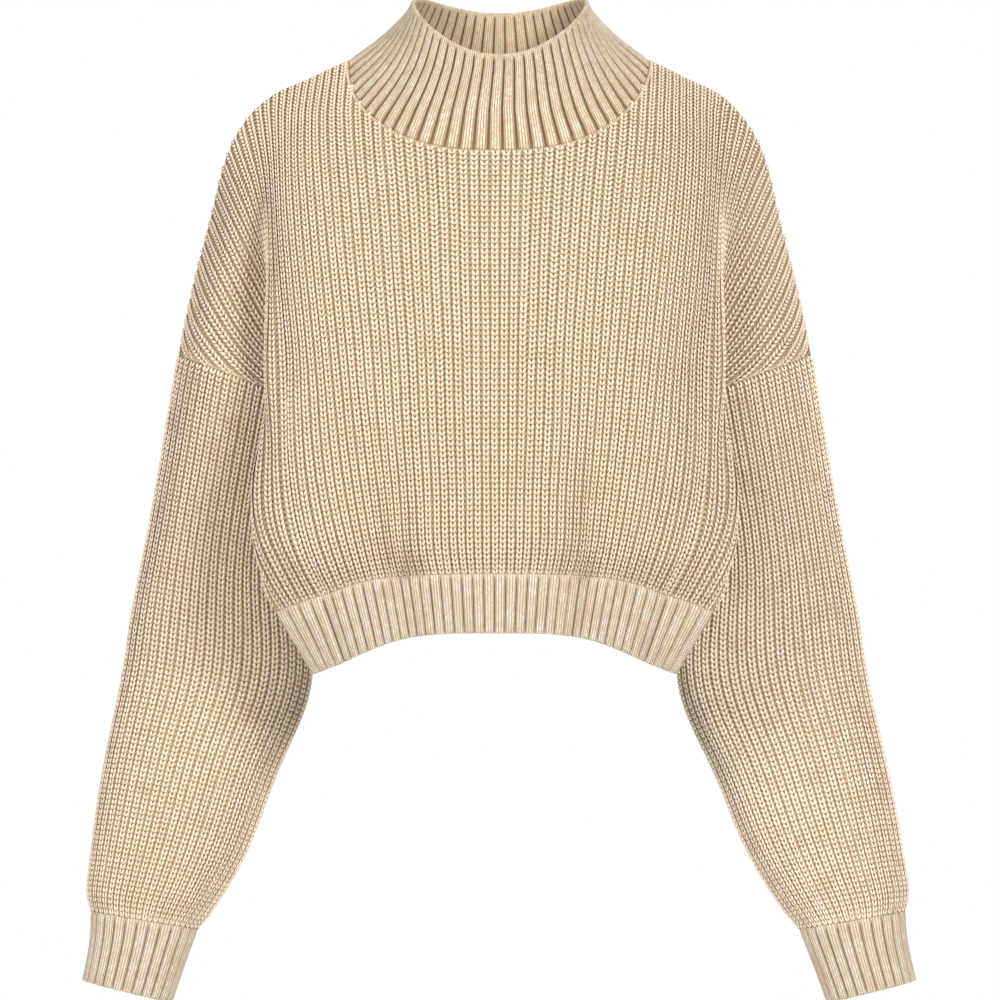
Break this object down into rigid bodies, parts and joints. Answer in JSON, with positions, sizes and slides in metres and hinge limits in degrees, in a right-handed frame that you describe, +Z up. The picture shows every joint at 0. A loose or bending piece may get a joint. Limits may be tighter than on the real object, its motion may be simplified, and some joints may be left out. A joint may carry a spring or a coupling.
{
  "type": "cropped knit sweater",
  "caption": "Cropped chunky rib knit sweater with a stand-up ribbed collar, dropped shoulders, balloon sleeves and ribbed hem and cuffs, hollow and open as if worn.",
  "frame": {"origin": "on the centre line at the height of the shoulder points of the collar seam, where the wearer's shoulders carry the garment", "axes": "+Z up from cuffs to collar, +X towards the wearer's left sleeve, -Y out of the front"},
  "size_m": [0.6004, 0.2008, 0.7216],
  "materials": {
    "main_knit": "matt oatmeal wool-blend yarn in a chunky rib",
    "rib_band": "matt oatmeal yarn in a finer rib"
  },
  "bodies": {
    "root": {"front": "main_knit", "back": "main_knit", "sleeve_left": "main_knit", "sleeve_right": "main_knit", "collar": "rib_band", "hem_front": "rib_band", "hem_back": "rib_band", "cuff_left": "rib_band", "cuff_right": "rib_band"}
  },
  "joints": []
}
